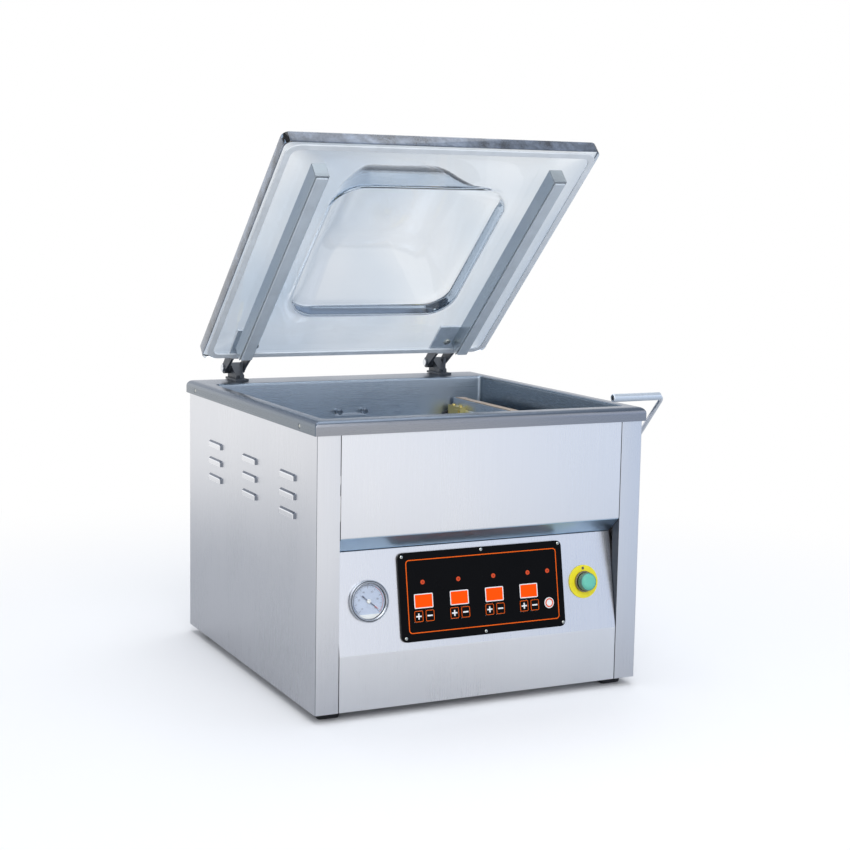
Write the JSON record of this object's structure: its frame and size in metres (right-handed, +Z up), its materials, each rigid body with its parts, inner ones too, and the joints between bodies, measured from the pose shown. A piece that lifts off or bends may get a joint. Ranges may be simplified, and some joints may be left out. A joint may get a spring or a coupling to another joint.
{
  "type": "vacuum packing machine",
  "caption": "Tabletop chamber vacuum packing machine with a hinged clear domed lid, seal bars, sloping control panel, pressure gauge, push button and side press lever.",
  "frame": {"origin": "middle of the machine's footprint box, on the surface its feet stand on, lid open", "axes": "+Z up, +X to the operator's right, -Y towards the operator"},
  "size_m": [0.5548, 0.5804, 0.8123],
  "materials": {
    "brushed_stainless": "fine vertical brushed grain, satin",
    "chamber_steel": "satin stainless, bluish, lightly brushed",
    "lid_clear": "clear cast acrylic, polished",
    "aluminium_bar": "anodised satin",
    "bright_chrome": "polished",
    "dark_cast": "painted dark grey",
    "black_rubber": "matt",
    "grey_silicone": "satin silicone",
    "white_silicone": "translucent silicone",
    "black_panel": "printed polyester overlay, satin",
    "black_plastic": "moulded",
    "white_plastic": "printed dial",
    "stop_orange": "translucent key",
    "legend_yellow": "printed ring",
    "button_green": "moulded, glossy",
    "ptfe_tape": "PTFE-coated glass cloth",
    "board_green": "circuit board and display blocks",
    "brass_valve": "machined",
    "gauge_glass": "flat clear window"
  },
  "bodies": {
    "cabinet": {"chamber_tub": "chamber_steel", "side_panel_left": "brushed_stainless", "side_panel_right": "brushed_stainless", "front_upper_panel": "brushed_stainless", "front_fascia": "brushed_stainless", "rear_panel": "brushed_stainless", "base_plate": "brushed_stainless", "power_inlet": "black_plastic", "foot_front_left": "black_rubber", "foot_rear_left": "black_rubber", "foot_front_right": "black_rubber", "foot_rear_right": "black_rubber", "control_overlay": "black_panel", "display_module": "board_green", "gauge_case": "black_plastic", "gauge_dial": "white_plastic", "gauge_glass": "gauge_glass", "gauge_bezel": "bright_chrome", "button_legend_ring": "legend_yellow", "button_bezel": "aluminium_bar", "bar_lifter_left": "aluminium_bar", "bar_lifter_right": "aluminium_bar", "gas_nozzle_bar": "bright_chrome", "suction_port": "bright_chrome", "vacuum_pump": "dark_cast", "pump_motor": "dark_cast", "seal_transformer": "dark_cast", "solenoid_valve": "brass_valve", "vacuum_hose": "black_rubber", "hinge_post_left": "dark_cast", "hinge_post_right": "dark_cast", "hinge_pin_left": "bright_chrome", "hinge_pin_right": "bright_chrome", "lever_pivot_boss": "bright_chrome"},
    "lid": {"lid_acrylic": "lid_clear", "lid_gasket": "white_silicone", "lid_bar_left": "aluminium_bar", "lid_bar_right": "aluminium_bar", "silicone_strip_left": "grey_silicone", "silicone_strip_right": "grey_silicone", "hinge_bracket_left": "dark_cast", "hinge_bracket_right": "dark_cast"},
    "press_lever": {"lever_arm": "bright_chrome", "lever_grip": "aluminium_bar"},
    "seal_bar_left": {"seal_bar_left": "aluminium_bar", "seal_tape_left": "ptfe_tape"},
    "seal_bar_right": {"seal_bar_right": "aluminium_bar", "seal_tape_right": "ptfe_tape"},
    "gauge_needle": {"gauge_needle": "black_plastic"},
    "power_button": {"power_button": "button_green"},
    "key_stop": {"key_stop": "stop_orange"},
    "key_vacuum_plus": {"key_vacuum_plus": "black_plastic"},
    "key_vacuum_minus": {"key_vacuum_minus": "black_plastic"},
    "key_gas_plus": {"key_gas_plus": "black_plastic"},
    "key_gas_minus": {"key_gas_minus": "black_plastic"},
    "key_seal_plus": {"key_seal_plus": "black_plastic"},
    "key_seal_minus": {"key_seal_minus": "black_plastic"},
    "key_cool_plus": {"key_cool_plus": "black_plastic"},
    "key_cool_minus": {"key_cool_minus": "black_plastic"}
  },
  "joints": [
    {"name": "lid_hinge", "type": "hinge", "parent": "cabinet", "child": "lid", "pos_m": [-0.01285, 0.27925, 0.4409], "axis": [1, 0, 0], "range_deg": [0, 42.25], "stiffness_Nm_per_rad": 12, "springref_deg": -80.21},
    {"name": "lever_hinge", "type": "hinge", "parent": "cabinet", "child": "press_lever", "pos_m": [0.27165, -0.21235, 0.362], "axis": [1, 0, 0], "range_deg": [0, 85]},
    {"name": "seal_lift_left", "type": "slide", "parent": "cabinet", "child": "seal_bar_left", "axis": [0, 0, 1], "range_m": [0, 0.008]},
    {"name": "seal_lift_right", "type": "slide", "parent": "cabinet", "child": "seal_bar_right", "axis": [0, 0, 1], "range_m": [0, 0.008]},
    {"name": "needle_turn", "type": "hinge", "parent": "cabinet", "child": "gauge_needle", "pos_m": [-0.18845, -0.25719, 0.16419], "axis": [0, -0.9844, 0.1761], "range_deg": [0, 262], "stiffness_Nm_per_rad": 0.002},
    {"name": "power_push", "type": "slide", "parent": "cabinet", "child": "power_button", "axis": [0, 0.9844, -0.1761], "range_m": [0, 0.004], "stiffness_N_per_m": 800},
    {"name": "stop_push", "type": "slide", "parent": "cabinet", "child": "key_stop", "axis": [0, 0.9844, -0.1761], "range_m": [0, 0.0006], "stiffness_N_per_m": 1000},
    {"name": "push_vacuum_plus", "type": "slide", "parent": "cabinet", "child": "key_vacuum_plus", "axis": [0, 0.9844, -0.1761], "range_m": [0, 0.0006], "stiffness_N_per_m": 1000},
    {"name": "push_vacuum_minus", "type": "slide", "parent": "cabinet", "child": "key_vacuum_minus", "axis": [0, 0.9844, -0.1761], "range_m": [0, 0.0006], "stiffness_N_per_m": 1000},
    {"name": "push_gas_plus", "type": "slide", "parent": "cabinet", "child": "key_gas_plus", "axis": [0, 0.9844, -0.1761], "range_m": [0, 0.0006], "stiffness_N_per_m": 1000},
    {"name": "push_gas_minus", "type": "slide", "parent": "cabinet", "child": "key_gas_minus", "axis": [0, 0.9844, -0.1761], "range_m": [0, 0.0006], "stiffness_N_per_m": 1000},
    {"name": "push_seal_plus", "type": "slide", "parent": "cabinet", "child": "key_seal_plus", "axis": [0, 0.9844, -0.1761], "range_m": [0, 0.0006], "stiffness_N_per_m": 1000},
    {"name": "push_seal_minus", "type": "slide", "parent": "cabinet", "child": "key_seal_minus", "axis": [0, 0.9844, -0.1761], "range_m": [0, 0.0006], "stiffness_N_per_m": 1000},
    {"name": "push_cool_plus", "type": "slide", "parent": "cabinet", "child": "key_cool_plus", "axis": [0, 0.9844, -0.1761], "range_m": [0, 0.0006], "stiffness_N_per_m": 1000},
    {"name": "push_cool_minus", "type": "slide", "parent": "cabinet", "child": "key_cool_minus", "axis": [0, 0.9844, -0.1761], "range_m": [0, 0.0006], "stiffness_N_per_m": 1000}
  ],
  "couplings": [
    {"joint": "seal_lift_right", "follows": "seal_lift_left", "ratio": 1}
  ]
}
